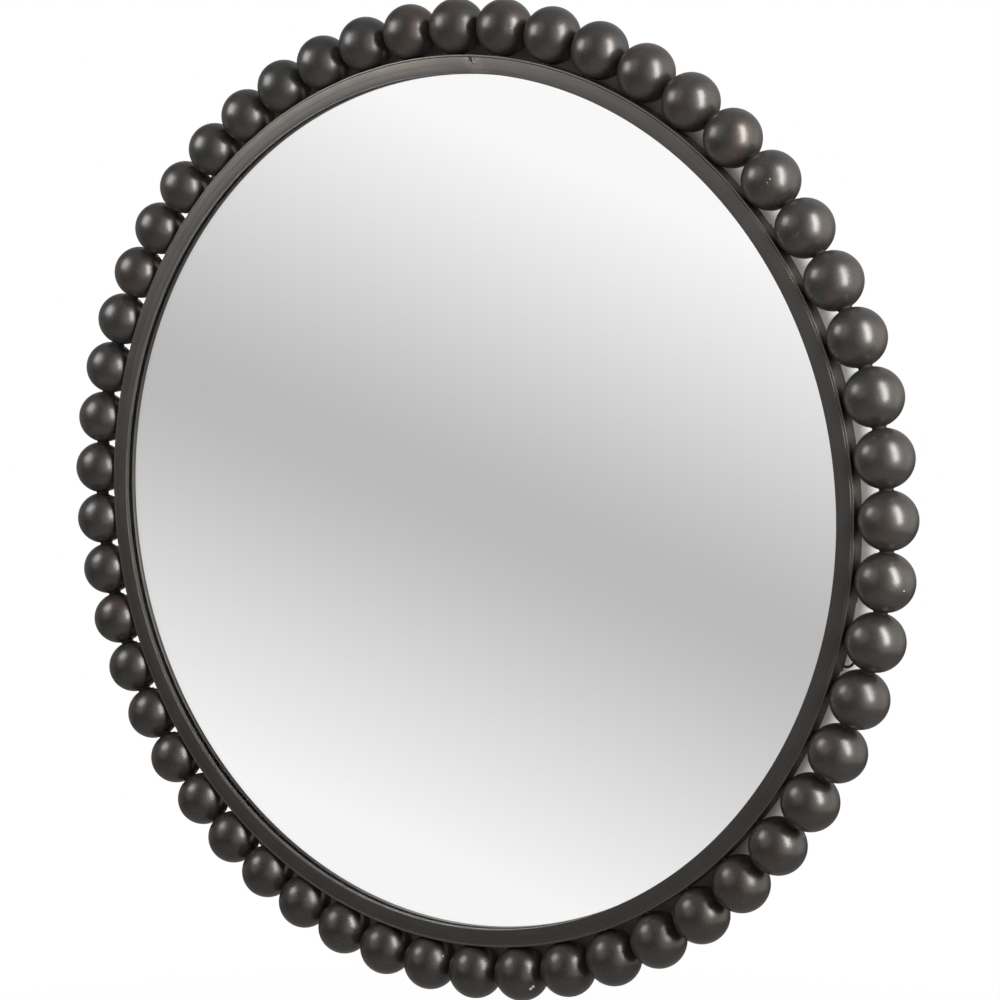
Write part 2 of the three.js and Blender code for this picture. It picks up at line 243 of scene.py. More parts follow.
def ring_steel():
    """The hoop's steel, with a paler outer edge to the flat face and the ground weld across it."""
    material = rolled_steel(
        "face ring steel", (0.098, 0.093, 0.088), (0.106, 0.092, 0.082), (0.155, 0.147, 0.137),
        ring_front - 0.01)
    tree = material.node_tree
    shader = tree.nodes["Principled BSDF"]
    radius, along, depth = place_round_axis(tree)[1:]
    ragged = cloudy(tree, object_place(tree), 500, detail=3)
    from_edge = calculate(tree, "MULTIPLY", calculate(tree, "SUBTRACT", ring_outer, radius), weld_lean)
    unsteady = cloudy(tree, object_place(tree), 240, detail=4)
    wander = calculate(tree, "ADD", calculate(tree, "SUBTRACT", along, from_edge),
                       between(tree, unsteady, 0.2, 0.8, -0.0028, 0.0028))
    off_weld = calculate(tree, "ABSOLUTE", calculate(tree, "SUBTRACT", wander, weld_at))
    upper_half = between(tree, radius, ring_inner + 0.007, ring_inner + 0.009)
    crack_width = between(tree, radius, ring_inner + 0.009, ring_outer, 0.0005, 0.0022)
    seam = calculate(tree, "MULTIPLY", calculate(tree, "LESS_THAN", off_weld, crack_width), upper_half)
    ground = between(tree, off_weld, 0.004, 0.014, 0.35, 0.0)
    near_seam = calculate(tree, "MULTIPLY", between(tree, off_weld, 0.003, 0.005, 1.0, 0.0), upper_half)
    nick = calculate(tree, "MULTIPLY", near_seam, between(tree, ragged, 0.53, 0.58))
    fleck = calculate(tree, "MULTIPLY", near_seam, between(tree, ragged, 0.36, 0.42, 1.0, 0.0))
    outer_edge = between(tree, radius, ring_outer - 0.0012, ring_outer - 0.0005)
    front_only = between(tree, depth, ring_front + 0.0005, ring_front + 0.0010, 1.0, 0.0)
    edges = calculate(tree, "MULTIPLY", outer_edge, front_only)
    colour = shader.inputs["Base Color"].links[0].from_socket
    # On the upper left only, where the light catches it, a line in the face gets painted shade and a band
    # just inside it a painted highlight.
    groove = calculate(tree, "ABSOLUTE", calculate(tree, "SUBTRACT", radius, drawn_line))
    upper_left = calculate(tree, "MULTIPLY", between(tree, along, -0.62, -0.50),
                           between(tree, along, -0.02, 0.02, 1.0, 0.0))
    line_shade_painted = calculate(tree, "MULTIPLY", between(tree, groove, 0.0001, 0.0006, 0.5, 0.0), upper_left)
    band_highlight_painted = between(tree, radius, drawn_line - 0.0003, drawn_line, 0.25, 0.0)
    colour = tinted(tree, line_shade_painted, colour, (0.045, 0.043, 0.040))
    colour = tinted(tree, calculate(tree, "MULTIPLY", band_highlight_painted, upper_left), colour, (0.20, 0.19, 0.18))
    colour = tinted(tree, calculate(tree, "MULTIPLY", edges, 0.5), colour, (0.18, 0.17, 0.155))
    colour = tinted(tree, ground, colour, (0.20, 0.19, 0.18))
    colour = tinted(tree, fleck, colour, (0.30, 0.29, 0.27))
    colour = tinted(tree, calculate(tree, "MULTIPLY", nick, 0.85), colour, (0.025, 0.024, 0.022))
    colour = tinted(tree, seam, colour, (0.022, 0.021, 0.020))
    tree.links.new(colour, shader.inputs["Base Color"])
    fine = shader.inputs["Normal"].links[0].from_socket
    cut = calculate(tree, "SUBTRACT", 0.0, calculate(tree, "ADD", seam, nick))
    tree.links.new(bumped(tree, cut, 0.00018, under=fine), shader.inputs["Normal"])
    return material


face_ring.data.materials.append(ring_steel())
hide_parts("face_ring")
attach(face_ring, "mirror")


# ---- mirror glass ----
# The glass is a flat 4 mm disc, silvered on its back and laid in behind the face ring.
# Light goes in through the clear front, so the ring's inner wall shows again just inside itself.

glass_radius = 0.400992
glass_front = -0.0315
glass_back = -0.0275
seamed_edge = 0.0004


def flat_disc(name, radius, front, back, sides, corner, segments=2):
    """A round plate across the mirror's axis, with its rims bevelled."""
    deselect_everything()
    bpy.ops.mesh.primitive_cylinder_add(
        vertices=sides, radius=radius, depth=back - front,
        location=(0, (front + back) / 2, 0), rotation=(math.pi / 2, 0, 0))
    plate = bpy.context.object
    plate.name = name
    bpy.ops.object.transform_apply(location=True, rotation=True)
    pick(plate, "FACE", lambda place, normal: abs(normal.y) > 0.9)
    bpy.ops.mesh.bevel(offset=corner, segments=segments, affect="EDGES")
    closed_up(plate)
    pick(plate, "FACE", lambda place, normal: abs(normal.y) > 0.999)
    bpy.ops.mesh.faces_shade_flat()
    bpy.ops.object.mode_set(mode="OBJECT")
    return plate


glass = flat_disc("mirror_plate", glass_radius, glass_front, glass_back, 318, seamed_edge)

clear_front, tree, shader = new_finish("clear glass")
shader.inputs["Base Color"].default_value = (0.992, 0.994, 0.992, 1)
shader.inputs["Transmission Weight"].default_value = 1.0
shader.inputs["IOR"].default_value = 1.52
dust = cloudy(tree, object_place(tree), 7, detail=5, roughness=0.7)
tree.links.new(between(tree, dust, 0.55, 0.9, 0.0, 0.012), shader.inputs["Roughness"])

silver_back, tree, shader = new_finish("silvering")
tarnish = cloudy(tree, object_place(tree), 60, detail=4)
rim_radius = place_round_axis(tree)[1]
spotted = calculate(tree, "MULTIPLY", between(tree, rim_radius, 0.392, 0.4005),
                    between(tree, tarnish, 0.5, 0.7))
tree.links.new(tinted(tree, spotted, (0.968, 0.968, 0.966), (0.45, 0.42, 0.38)), shader.inputs["Base Color"])
shader.inputs["Metallic"].default_value = 1.0
shader.inputs["Roughness"].default_value = 0.0

glass.data.materials.append(clear_front)
glass.data.materials.append(silver_back)
for face in glass.data.polygons:
    face.material_index = 1 if face.normal.y > 0.9 else 0
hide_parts("mirror_glass")
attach(glass, "mirror")


# ---- felt ring ----
# A ring of grey felt lies between the glass and the board, so that the board can't scratch it.
# It is cut from sheet and only pressed in place.

felt_width = 0.011
felt_front = -0.0272
felt_back = -0.0257
felt_corner = 0.0003

felt = rolled_bar(
    "felt_strip", glass_radius - felt_width, glass_radius, felt_front, felt_back, felt_corner, felt_corner)
felted, tree, shader = new_finish("grey felt")
fibres = cloudy(tree, stretched(tree, object_place(tree), (1.0, 0.4, 1.0)), 1600, detail=5, roughness=0.75)
tree.links.new(tinted(tree, fibres, (0.06, 0.055, 0.05), (0.15, 0.14, 0.13)), shader.inputs["Base Color"])
tree.links.new(bumped(tree, fibres, 0.0002), shader.inputs["Normal"])
shader.inputs["Roughness"].default_value = 0.95
shader.inputs["Sheen Weight"].default_value = 0.4
felt.data.materials.append(felted)
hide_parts("felt_ring")
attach(felt, "mirror")


# ---- backing board ----
# The board is a disc of brown hardboard that holds the glass in against the face ring.
# Its rear keeps the print of the wire screen that the wet fibre was pressed on.

board_radius = 0.401992
board_front = -0.0254
board_back = -0.0204

board = flat_disc("backing_disc", board_radius, board_front, board_back, 212, 0.0005)
pressed_fibre, tree, shader = new_finish("hardboard")
where = object_place(tree)
split = tree.nodes.new("ShaderNodeSeparateXYZ")
tree.links.new(where, split.inputs[0])
across = calculate(tree, "SINE", calculate(tree, "MULTIPLY", split.outputs[0], 2 * math.pi / 0.0016))
upward = calculate(tree, "SINE", calculate(tree, "MULTIPLY", split.outputs[2], 2 * math.pi / 0.0016))
screen = calculate(tree, "MULTIPLY", across, upward)
fibre = cloudy(tree, where, 420, detail=6, roughness=0.7)
stain = cloudy(tree, where, 9, detail=4, roughness=0.6)
brown = tinted(tree, fibre, (0.085, 0.050, 0.028), (0.19, 0.125, 0.075))
brown = tinted(tree, between(tree, stain, 0.4, 0.7, 0.0, 0.45), brown, (0.075, 0.045, 0.028))
brown = tinted(tree, between(tree, screen, -1.0, 1.0, 0.0, 0.22), brown, (0.05, 0.03, 0.018))
tree.links.new(brown, shader.inputs["Base Color"])
shader.inputs["Roughness"].default_value = 0.78
tree.links.new(bumped(tree, fibre, 0.0001, under=bumped(tree, screen, 0.00012)), shader.inputs["Normal"])
board.data.materials.append(pressed_fibre)
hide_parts("backing_board")
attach(board, "mirror")


# ---- board lugs ----
# Eight small steel tabs are welded to the rear edge of the hoop and reach in over the board.
# Each is cut from 2 mm strip, with its inner end rounded and one hole drilled for a screw.

lug_outer = 0.405292
lug_front = -0.0201
lug_thick = 0.002
lug_length = 0.024
lug_width = 0.016
lug_hole = 0.00205
lug_screw_at = lug_outer - 0.016
lug_angles = [math.radians(7.5 + 45 * i) for i in range(8)]


def turned_to(angle):
    """Takes what was made at +X to its clockwise angle from the top."""
    return Matrix.Rotation(angle - math.pi / 2, 4, "Y")


def copy_of(piece, name, move):
    """Another of the same piece with a mesh of its own, moved to its place."""
    made = piece.copy()
    made.data = piece.data.copy()
    made.name = name
    made.data.name = name
    bpy.context.collection.objects.link(made)
    made.data.transform(move)
    return made


def cut_away(piece, cutter, operation="DIFFERENCE"):
    """Takes the other's shape out of the piece, or joins it on, and takes the other away."""
    deselect_everything()
    bpy.context.view_layer.objects.active = piece
    piece.select_set(True)
    cut = piece.modifiers.new("cut", "BOOLEAN")
    cut.operation = operation
    cut.solver = "EXACT"
    cut.object = cutter
    bpy.ops.object.modifier_apply(modifier="cut")
    bpy.data.objects.remove(cutter)


def round_ended_tab(name, outer, length, width, front, thick, hole_at, hole_radius):
    """A tab at +X, cut with a half-round inner end, eased along its edges and drilled."""
    deselect_everything()
    middle = (outer - length / 2, front, 0)
    bpy.ops.mesh.primitive_plane_add(size=1, location=middle, rotation=(math.pi / 2, 0, 0))
    tab = bpy.context.object
    tab.name = name
    bpy.ops.object.transform_apply(location=True, rotation=True)
    pick(tab, "VERT", lambda place: True)
    bpy.ops.transform.resize(value=(length, 1, width), center_override=middle)
    pick(tab, "VERT", lambda place: place.x < middle[0])
    bpy.ops.mesh.bevel(offset=width / 2 - 1e-6, segments=12, affect="VERTICES")
    pick(tab, "FACE", lambda place, normal: True)
    bpy.ops.mesh.extrude_region_move(TRANSFORM_OT_translate={"value": (0, thick, 0)})
    closed_up(tab)
    deselect_everything()
    bpy.ops.mesh.primitive_cylinder_add(
        vertices=32, radius=hole_radius, depth=thick * 4,
        location=(hole_at, front + thick / 2, 0), rotation=(math.pi / 2, 0, 0))
    cut_away(tab, bpy.context.object)
    eased = tab.modifiers.new("eased", "BEVEL")
    eased.width = 0.0003
    eased.segments = 2
    eased.angle_limit = math.radians(50)
    deselect_everything()
    tab.select_set(True)
    bpy.context.view_layer.objects.active = tab
    bpy.ops.object.modifier_apply(modifier="eased")
    closed_up(tab)
    return tab


def tab_steel():
    """Blackened strip, clouded with mill scale and speckled with paler metal."""
    material, tree, shader = new_finish("tab steel")
    where = object_place(tree)
    scale = cloudy(tree, where, 160, detail=5, roughness=0.65)
    grain = cloudy(tree, where, 1400, detail=2)
    colour = tinted(tree, scale, (0.055, 0.05, 0.047), (0.15, 0.125, 0.105))
    colour = tinted(tree, between(tree, grain, 0.62, 0.75, 0.0, 0.5), colour, (0.30, 0.28, 0.26))
    tree.links.new(colour, shader.inputs["Base Color"])
    shader.inputs["Metallic"].default_value = 1.0
    tree.links.new(between(tree, scale, 0.3, 0.7, 0.5, 0.36), shader.inputs["Roughness"])
    tree.links.new(bumped(tree, grain, 0.00004, under=bumped(tree, scale, 0.00008)), shader.inputs["Normal"])
    return material


tab_finish = tab_steel()
lug = round_ended_tab("lug", lug_outer, lug_length, lug_width, lug_front, lug_thick, lug_screw_at, lug_hole)
lug.data.materials.append(tab_finish)
for number, angle in enumerate(lug_angles, 1):
    made = copy_of(lug, f"board_tab_{number}", turned_to(angle))
    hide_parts(f"board_lug_{number}")
    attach(made, "mirror")
bpy.data.objects.remove(lug)


# ---- board screws ----
# One slotted pan-head screw of zinc-plated steel goes through each lug into the board.
# The heads are turned, with a rounded rim and a sawn slot, and each stops at its own turn.

zinc_seed = random.Random(7)
slot_depth = 0.0011
slot_width = 0.0012


def pan_head_screw(name, at, seat, tip, diameter, head, height):
    """A screw along Y at +X: the head is rounded at its rear rim, and the shank is drawn forward."""
    deselect_everything()
    bpy.ops.mesh.primitive_cylinder_add(
        vertices=40, radius=head / 2, depth=height,
        location=(at, seat + height / 2, 0), rotation=(math.pi / 2, 0, 0))
    screw = bpy.context.object
    screw.name = name
    bpy.ops.object.transform_apply(location=True, rotation=True)
    pick(screw, "EDGE", lambda place: place.y > seat + height - 1e-6)
    bpy.ops.mesh.bevel(offset=height * 0.5, segments=5, affect="EDGES")
    pick(screw, "FACE", lambda place, normal: normal.y < -0.9)
    bpy.ops.mesh.inset(thickness=(head - diameter) / 2)
    bpy.ops.mesh.extrude_region_move(TRANSFORM_OT_translate={"value": (0, tip - seat, 0)})
    closed_up(screw)
    deselect_everything()
    bpy.ops.mesh.primitive_cube_add(size=1, location=(at, seat + height, 0))
    sawn = bpy.context.object
    sawn.scale = (head * 2, slot_depth * 2, slot_width)
    cut_away(screw, sawn)
    closed_up(screw)
    return screw


def bright_zinc():
    """Zinc plate: bluish and slightly yellowed, cloudy, with fine dull specks."""
    material, tree, shader = new_finish("zinc plate")
    where = object_place(tree)
    cloud = cloudy(tree, where, 260, detail=4, roughness=0.6)
    speck = cloudy(tree, where, 2400, detail=2)
    colour = tinted(tree, cloud, (0.42, 0.43, 0.44), (0.62, 0.60, 0.54))
    colour = tinted(tree, between(tree, speck, 0.62, 0.74, 0.0, 0.6), colour, (0.22, 0.21, 0.20))
    tree.links.new(colour, shader.inputs["Base Color"])
    shader.inputs["Metallic"].default_value = 1.0
    tree.links.new(between(tree, cloud, 0.3, 0.7, 0.38, 0.24), shader.inputs["Roughness"])
    tree.links.new(bumped(tree, cloud, 0.00003), shader.inputs["Normal"])
    return material


zinc = bright_zinc()
screw = pan_head_screw(
    "screw", lug_screw_at, seat=-0.0178, tip=-0.0244, diameter=0.0035, head=0.0075, height=0.002)
screw.data.materials.append(zinc)
for number, angle in enumerate(lug_angles, 1):
    own_turn = (
        Matrix.Translation((lug_screw_at, 0, 0))
        @ Matrix.Rotation(zinc_seed.uniform(0, math.pi), 4, "Y")
        @ Matrix.Translation((-lug_screw_at, 0, 0))
    )
    made = copy_of(screw, f"tab_screw_{number}", turned_to(angle) @ own_turn)
    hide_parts(f"board_screw_{number}")
    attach(made, "mirror")
bpy.data.objects.remove(screw)


# ---- hanger plates ----
# Four thicker steel plates are welded across the rear edge of the hoop, two high and two low.
# Each is drilled for the screw that holds its strap.

plate_length = 0.030
plate_width = 0.022
plate_thick = 0.004
plate_hole = 0.0023
hanger_at = lug_outer - 0.019
hangers = {
    "upper_right": (math.radians(71.718), math.pi),
    "upper_left": (math.radians(289.077), math.pi),
    "lower_right": (math.radians(105.681), 0.0),
    "lower_left": (math.radians(255.115), 0.0),
}

plate = round_ended_tab(
    "plate", lug_outer, plate_length, plate_width, lug_front, plate_thick, hanger_at, plate_hole)
plate.data.materials.append(tab_finish)
for name, (angle, turn) in hangers.items():
    made = copy_of(plate, f"hanger_pad_{name}", turned_to(angle))
    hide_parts(f"hanger_plate_{name}")
    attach(made, "mirror")
bpy.data.objects.remove(plate)


# ---- hanger screws ----
# A larger pan-head screw clamps each strap to its plate.
# It is the same turned and plated kind as the board's screws.

hanger_screw = pan_head_screw(
    "hanger_screw", hanger_at, seat=-0.0131, tip=-0.0201, diameter=0.004, head=0.008, height=0.0024)
hanger_screw.data.materials.append(zinc)
for name, (angle, turn) in hangers.items():
    made = copy_of(hanger_screw, f"strap_screw_{name}", turned_to(angle))
    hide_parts(f"hanger_screw_{name}")
    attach(made, "mirror")
bpy.data.objects.remove(hanger_screw)


# ---- hanger straps ----
# Each strap is a strip of zinc-plated sheet, folded double round the leg of its D-ring.
# The fold makes the eye that the ring turns in, and both leaves share one screw.

strap_width = 0.009
leaf = 0.0012
strap_front = -0.0158
strap_tail = 0.007
strap_hole = 0.0021
screw_to_eye = 0.014
eye_depth = -0.0126
eye_outer = 0.00318
eye_hole = 0.002
eye_width = strap_width - 0.0002

strap = round_ended_tab(
    "strap", hanger_at + screw_to_eye, screw_to_eye + strap_tail, strap_width, strap_front, 2 * leaf,
    hanger_at, strap_hole)
for radius, width, operation in (
        (eye_outer, eye_width, "UNION"),
        (eye_hole, strap_width * 2, "DIFFERENCE")):
    deselect_everything()
    bpy.ops.mesh.primitive_cylinder_add(
        vertices=48, radius=radius, depth=width, location=(hanger_at + screw_to_eye, eye_depth, 0))
    round_bar = bpy.context.object
    bpy.ops.object.transform_apply(location=True)
    if operation == "UNION":
        pick(round_bar, "FACE", lambda place, normal: abs(normal.z) > 0.9)
        bpy.ops.mesh.bevel(offset=0.00025, segments=2, affect="EDGES")
        bpy.ops.object.mode_set(mode="OBJECT")
    cut_away(strap, round_bar, operation)
closed_up(strap)
strap.data.materials.append(zinc)
for name, (angle, turn) in hangers.items():
    about_screw = (
        Matrix.Translation((hanger_at, 0, 0))
        @ Matrix.Rotation(turn, 4, "Y")
        @ Matrix.Translation((-hanger_at, 0, 0))
    )
    made = copy_of(strap, f"folded_strap_{name}", turned_to(angle) @ about_screw)
    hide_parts(f"hanger_strap_{name}")
    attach(made, "mirror")
bpy.data.objects.remove(strap)


# ---- D-rings ----
# Each D-ring is bent from round wire, with its straight leg in the strap's eye and its bow free.
# The wire's ends meet in the leg, hidden in the eye.

wire = 0.0024
leg_half = 0.0054
bend = 0.0024
straight = 0.001


def bent_wire(name):
    """The wire's round section, carried along the leg and spun round each bend of the D."""
    deselect_everything()
    bpy.ops.mesh.primitive_circle_add(vertices=16, radius=wire / 2, location=(0, 0, 0))
    ring = bpy.context.object
    ring.name = name
    pick(ring, "EDGE", lambda place: True)

    def run(x, z):
        bpy.ops.mesh.extrude_region_move(TRANSFORM_OT_translate={"value": (x, 0, z)})

    def turn(x, z, angle, steps):
        bpy.ops.mesh.spin(steps=steps, angle=math.radians(-angle), center=(x, 0, z), axis=(0, 1, 0),
                          use_auto_merge=False)

    run(0, leg_half)
    turn(bend, leg_half, 90, 8)
    run(straight, 0)
    turn(bend + straight, 0, 180, 28)
    run(-straight, 0)
    turn(bend, -leg_half, 90, 8)
    run(0, leg_half)
    closed_up(ring, 60)
    return ring


d_ring = bent_wire("d_ring")
d_ring.data.materials.append(zinc)
for name, (angle, turn) in hangers.items():
    place = (
        turned_to(angle)
        @ Matrix.Translation((hanger_at, 0, 0))
        @ Matrix.Rotation(turn, 4, "Y")
        @ Matrix.Translation((screw_to_eye, eye_depth, 0))
    )
    made = copy_of(d_ring, f"d_ring_wire_{name}", place)
    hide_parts(f"hanger_ring_{name}")
    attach(made, f"d_ring_{name}")
bpy.data.objects.remove(d_ring)


# ---- balls ----
# Fifty-three hollow steel balls, two inches across, are welded to each other and to the hoop.
# They are blackened and waxed together, which leaves clouds, brown tints, pits and a few chips.

ball_count = 53
ball_circle = 0.431292
ball_radius = 0.02535
ball_depth = -0.0254
half_step = math.pi / ball_count
first_ball = math.radians(7.19)
to_next = Vector((-math.sin(half_step), 0, math.cos(half_step)))
to_last = Vector((-math.sin(half_step), 0, -math.cos(half_step)))
to_hoop = Vector((-1, 0, 0))
weld_cut = 0.0244
weld_reach = 0.00113
foot_cut = 0.0248
foot_reach = 0.0008
bead_from = 0.02441

deselect_everything()
bpy.ops.mesh.primitive_ico_sphere_add(subdivisions=5, radius=ball_radius, location=(0, 0, 0))
ball = bpy.context.object
ball.name = "ball"
for toward, cut_at, reach in (
        (to_next, weld_cut, weld_reach),
        (to_last, weld_cut, weld_reach),
        (to_hoop, foot_cut, foot_reach)):
    pick(ball, "VERT", lambda place: True)
    bpy.ops.mesh.bisect(plane_co=toward * cut_at, plane_no=toward, use_fill=True, clear_outer=True)
    bpy.ops.mesh.extrude_region_move(TRANSFORM_OT_translate={"value": toward * reach * 0.4})
    bpy.ops.transform.resize(value=(0.88, 0.88, 0.88), center_override=toward * (cut_at + reach * 0.4))
    bpy.ops.mesh.extrude_region_move(TRANSFORM_OT_translate={"value": toward * reach * 0.6})
closed_up(ball, 60)
# Faces on the necks and the foot take the second finish: sooty weld, darkened further as painted contact
# shade.
for face in ball.data.polygons:
    face.material_index = 1 if face.center.length < ball_radius - 0.0004 else 0
    if max(face.center.dot(to_next), face.center.dot(to_last)) > bead_from:
        face.material_index = 1
ball.data.transform(Matrix.Translation((ball_circle, ball_depth, 0)))


# Bright chips that knocks have left on a few balls: a place on the surface and a half-width
chips = (
    (0.0940, -0.0388, -0.4317, 0.0018),
    (0.0922, -0.0402, -0.4336, 0.0016),
    (-0.0078, -0.0352, -0.4196, 0.0008),
    (0.3312, -0.0483, 0.2891, 0.0006),
    (0.3290, -0.0489, 0.2863, 0.0005),
    (0.4514, -0.0371, -0.0457, 0.0007),
    (0.3557, -0.0217, -0.2634, 0.0009),
)


def ball_steel():
    """Waxed black oxide: satin, clouded grey to brown, with rubbed lines, pits and bright chips."""
    material, tree, shader = new_finish("ball steel")
    where = object_place(tree)
    clouds = cloudy(tree, where, 42, detail=5, roughness=0.62)
    tint = cloudy(tree, stretched(tree, where, (1.0, 1.3, 0.8)), 27, detail=3, roughness=0.55)
    rubbing = cloudy(tree, stretched(tree, where, (160, 160, 2200)), 1.0, detail=3, roughness=0.6)
    grain = cloudy(tree, where, 1100, detail=3, roughness=0.6)
    colour = tinted(tree, between(tree, clouds, 0.35, 0.68), (0.033, 0.0325, 0.0335), (0.050, 0.0462, 0.0410))
    colour = tinted(tree, between(tree, tint, 0.50, 0.68, 0.0, 0.90), colour, (0.060, 0.041, 0.034))
    split = tree.nodes.new("ShaderNodeSeparateXYZ")
    tree.links.new(where, split.inputs[0])
    # Painted shade: the balls' colour turns darker and browner toward the bottom, where less light falls.
    shade_low_painted = between(tree, split.outputs[2], -0.42, 0.05, 0.75, 0.0)
    colour = tinted(tree, shade_low_painted, colour, (0.027, 0.0205, 0.0165))
    colour = tinted(tree, between(tree, grain, 0.45, 0.75, 0.0, 0.30), colour, (0.12, 0.115, 0.105))
    pits = tree.nodes.new("ShaderNodeTexVoronoi")
    pits.inputs["Scale"].default_value = 520
    tree.links.new(where, pits.inputs["Vector"])
    crowd = between(tree, cloudy(tree, where, 55, detail=2), 0.63, 0.72)
    pit = calculate(tree, "MULTIPLY", crowd, between(tree, pits.outputs["Distance"], 0.10, 0.30, 1.0, 0.0))
    colour = tinted(tree, calculate(tree, "MULTIPLY", pit, 0.6), colour, (0.26, 0.25, 0.23))
    rubbed = calculate(tree, "MULTIPLY", between(tree, rubbing, 0.58, 0.70), between(tree, tint, 0.42, 0.55))
    colour = tinted(tree, calculate(tree, "MULTIPLY", rubbed, 0.35), colour, (0.14, 0.12, 0.10))
    for x, y, z, size in chips:
        off = tree.nodes.new("ShaderNodeVectorMath")
        off.operation = "DISTANCE"
        off.inputs[1].default_value = (x, y, z)
        tree.links.new(where, off.inputs[0])
        chip = calculate(tree, "MULTIPLY", between(tree, off.outputs["Value"], size * 0.7, size, 1.0, 0.0),
                         between(tree, grain, 0.30, 0.42))
        colour = tinted(tree, chip, colour, (0.80, 0.78, 0.74))
    tree.links.new(colour, shader.inputs["Base Color"])
    shader.inputs["Metallic"].default_value = 0.35
    shader.inputs["IOR"].default_value = 1.8
    rough = calculate(tree, "ADD", between(tree, clouds, 0.3, 0.7, 0.34, 0.28),
                      between(tree, grain, 0.3, 0.7, -0.02, 0.03))
    tree.links.new(rough, shader.inputs["Roughness"])
    skin = bumped(tree, cloudy(tree, where, 190, detail=3), 0.00005)
    skin = bumped(tree, grain, 0.000016, under=skin)
    skin = bumped(tree, rubbing, 0.000012, under=skin)
    tree.links.new(bumped(tree, pit, 0.00008, under=skin), shader.inputs["Normal"])
    return material


def bead_soot_and_shade():
    """Sooty black and dull, for the beads between the balls and the feet at the hoop: partly weld soot,
    partly painted contact shade.
    """
    material, tree, shader = new_finish("bead soot and painted shade")
    ripple = cloudy(tree, object_place(tree), 700, detail=3)
    soot_and_shade = tinted(tree, ripple, (0.012, 0.011, 0.010), (0.032, 0.028, 0.025))
    tree.links.new(soot_and_shade, shader.inputs["Base Color"])
    tree.links.new(bumped(tree, ripple, 0.0002), shader.inputs["Normal"])
    shader.inputs["Roughness"].default_value = 0.75
    return material


ball.data.materials.append(ball_steel())
ball.data.materials.append(bead_soot_and_shade())
for number in range(ball_count):
    angle = first_ball + number * 2 * half_step
    made = copy_of(ball, f"ball_{number + 1:02d}", turned_to(angle))
    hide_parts(f"balls_{number // 3 + 1:02d}")
    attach(made, "mirror")
bpy.data.objects.remove(ball)


# ---- studio ----
# The mirror hangs clear of a plain pale floor, which fades into a white room.
# A tall softbox stands to its right, a smaller one to its upper left and a third behind it.

floor_height = -1.06
deselect_everything()
bpy.ops.mesh.primitive_circle_add(vertices=96, radius=2.4, fill_type="NGON", location=(0, 0, floor_height))
floor = bpy.context.object
floor.name = "floor"
bpy.ops.object.transform_apply(location=True)
pale, tree, shader = new_finish("pale floor")
shader.inputs["Base Color"].default_value = (0.8, 0.8, 0.79, 1)
shader.inputs["Roughness"].default_value = 0.9
white = tree.nodes.new("ShaderNodeEmission")
blend = tree.nodes.new("ShaderNodeMixShader")
rays = tree.nodes.new("ShaderNodeLightPath")
reflected = calculate(tree, "MAXIMUM", rays.outputs["Is Glossy Ray"], rays.outputs["Is Transmission Ray"])
seen = calculate(tree, "MAXIMUM", rays.outputs["Is Camera Ray"], reflected)
from_middle = tree.nodes.new("ShaderNodeVectorMath")
from_middle.operation = "LENGTH"
tree.links.new(object_place(tree), from_middle.inputs[0])
fading = between(tree, from_middle.outputs["Value"], 1.25, 2.55, 0.72, 1.0)
plainly = calculate(tree, "MAXIMUM", rays.outputs["Is Camera Ray"], rays.outputs["Is Transmission Ray"])
tree.links.new(between(tree, plainly, 0.0, 1.0, 0.15, 1.0), white.inputs["Strength"])
tree.links.new(calculate(tree, "MULTIPLY", seen, fading), blend.inputs[0])
tree.links.new(shader.outputs[0], blend.inputs[1])
tree.links.new(white.outputs[0], blend.inputs[2])
tree.links.new(blend.outputs[0], tree.nodes["Material Output"].inputs["Surface"])
floor.data.materials.append(pale)


# The patch of wall that shows only between the balls and the hoop, coloured with painted light and shade:
# pale and glowing at the right as painted light, painted shade elsewhere and next to the hoop,
# and clear from behind and to light that starts close in front of it
patch_radius = 0.437
patch_middle = -0.003
patch_squash = 0.9657
patch_band = 0.045
hole_stretch = 1.0424
hole_shift = -0.012

deselect_everything()
bpy.ops.mesh.primitive_circle_add(
    vertices=128, radius=patch_radius, fill_type="NGON",
    location=(patch_middle, 0.0001, 0), rotation=(math.pi / 2, 0, 0))
wall = bpy.context.object
wall.name = "wall_patch"
bpy.ops.object.transform_apply(location=True, rotation=True)
pick(wall, "FACE", lambda place, normal: True)
bpy.ops.transform.resize(value=(patch_squash, 1, 1), center_override=(patch_middle, 0, 0))
bpy.ops.mesh.inset(thickness=patch_band)
bpy.ops.transform.resize(value=(hole_stretch, 1, 1), center_override=(patch_middle, 0, 0))
bpy.ops.transform.translate(value=(hole_shift, 0, 0))
bpy.ops.mesh.delete(type="FACE")
bpy.ops.object.mode_set(mode="OBJECT")
painted, tree, shader = new_finish("wall with painted light and shade")
split = tree.nodes.new("ShaderNodeSeparateXYZ")
tree.links.new(object_place(tree), split.inputs[0])
# Painted light and shade: a pale colour at the right and a dark one elsewhere.
toward_right = calculate(tree, "ADD", split.outputs[0], calculate(tree, "MULTIPLY", split.outputs[2], 0.09))
lit_side_painted = between(tree, toward_right, 0.23, 0.40)
radius = place_round_axis(tree)[1]
hoop_shade_painted = between(tree, radius, 0.399, 0.413, 0.2, 1.0)
tree.links.new(tinted(tree, lit_side_painted, (0.26, 0.235, 0.225), (0.80, 0.80, 0.79)), shader.inputs["Base Color"])
shader.inputs["Roughness"].default_value = 0.9
shader.inputs["Emission Color"].default_value = (1.0, 0.99, 0.97, 1)
rays = tree.nodes.new("ShaderNodeLightPath")
in_steel = calculate(tree, "MULTIPLY", rays.outputs["Is Glossy Ray"], 0.12)
seen = calculate(tree, "MAXIMUM", rays.outputs["Is Camera Ray"],
                 calculate(tree, "MAXIMUM", in_steel, rays.outputs["Is Transmission Ray"]))
